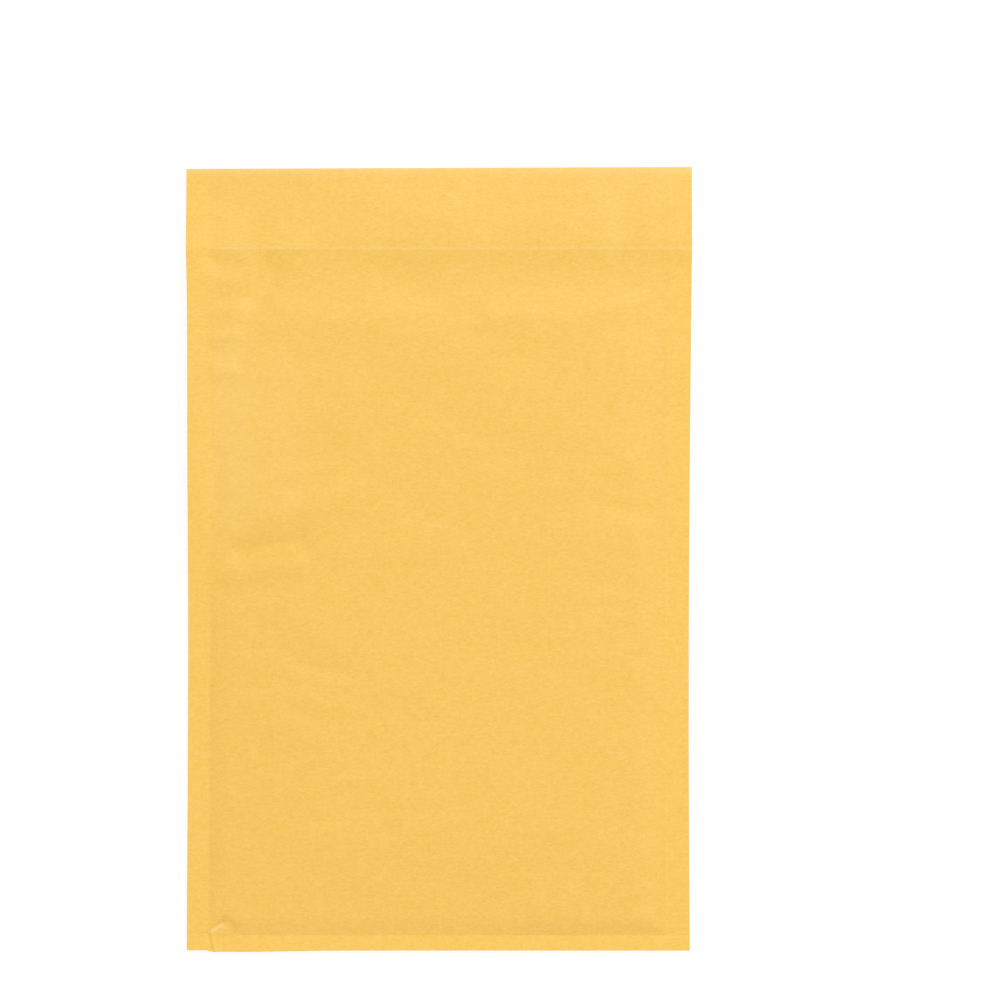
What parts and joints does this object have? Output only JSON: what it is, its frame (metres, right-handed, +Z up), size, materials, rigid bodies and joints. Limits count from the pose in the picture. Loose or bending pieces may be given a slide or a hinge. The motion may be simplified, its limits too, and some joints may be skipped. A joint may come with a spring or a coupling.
{
  "type": "padded envelope",
  "caption": "Flat kraft mailing envelope with a bubble film lining, an open sealing flap and a peel-off liner under the flap.",
  "frame": {"origin": "under the middle of the outline, on the surface that the envelope lies on", "axes": "+X across the width, +Y from the bottom fold towards the flap, +Z up through the thickness, out of the plain front"},
  "size_m": [0.251, 0.389, 0.0083],
  "materials": {
    "kraft_paper": "golden machine-glazed kraft, matt with a faint sheen",
    "bubble_film": "clear polyethylene film with air bubbles",
    "hot_melt_adhesive": "pale tacky pressure-sensitive adhesive",
    "release_paper": "white silicone-coated release paper with rows of plain red dashes"
  },
  "bodies": {
    "root": {"kraft_envelope": "kraft_paper", "bubble_lining": "bubble_film", "adhesive_strip": "hot_melt_adhesive", "release_liner": "release_paper"}
  },
  "joints": []
}
